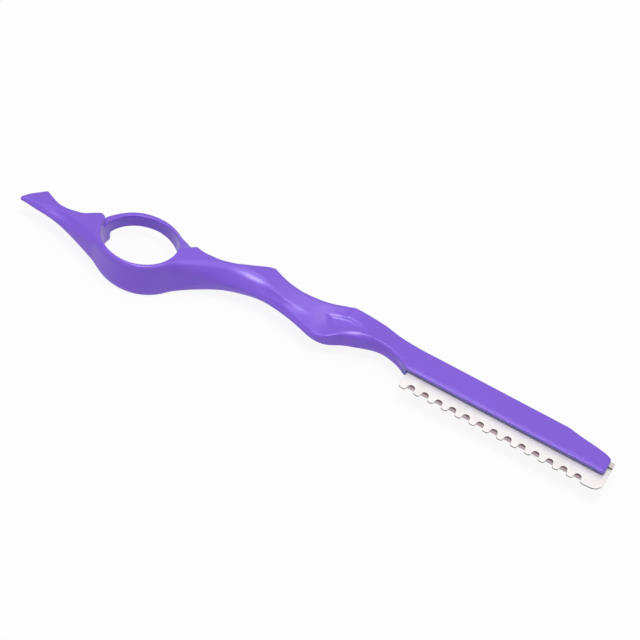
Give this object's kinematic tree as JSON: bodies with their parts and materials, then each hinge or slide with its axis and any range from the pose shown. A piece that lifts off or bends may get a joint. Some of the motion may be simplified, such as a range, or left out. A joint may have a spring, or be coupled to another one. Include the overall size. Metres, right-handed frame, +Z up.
{
  "type": "hair styling razor",
  "caption": "Straight hair styling razor: a contoured coated handle with a finger ring and a tang, and a guarded blade cartridge that slides into its slotted end.",
  "frame": {"origin": "under the middle of the box round the razor, on the surface that it lies on", "axes": "+X from the tail to the tip, +Y away from the cutting edge, +Z up out of the broad face"},
  "size_m": [0.1832, 0.0294, 0.0106],
  "materials": {
    "handle_coating": "smooth satin violet coating",
    "guard_steel": "thin bright sheet steel",
    "blade_steel": "ground blade steel with a fine bevel",
    "clip_steel": "thin bright sheet steel"
  },
  "bodies": {
    "handle": {"handle": "handle_coating"},
    "cartridge": {"guard": "guard_steel", "blade": "blade_steel", "spine_clip": "clip_steel"}
  },
  "joints": [
    {"name": "cartridge_slide", "type": "slide", "parent": "handle", "child": "cartridge", "axis": [1, 0, 0], "range_m": [0, 0.06]}
  ]
}
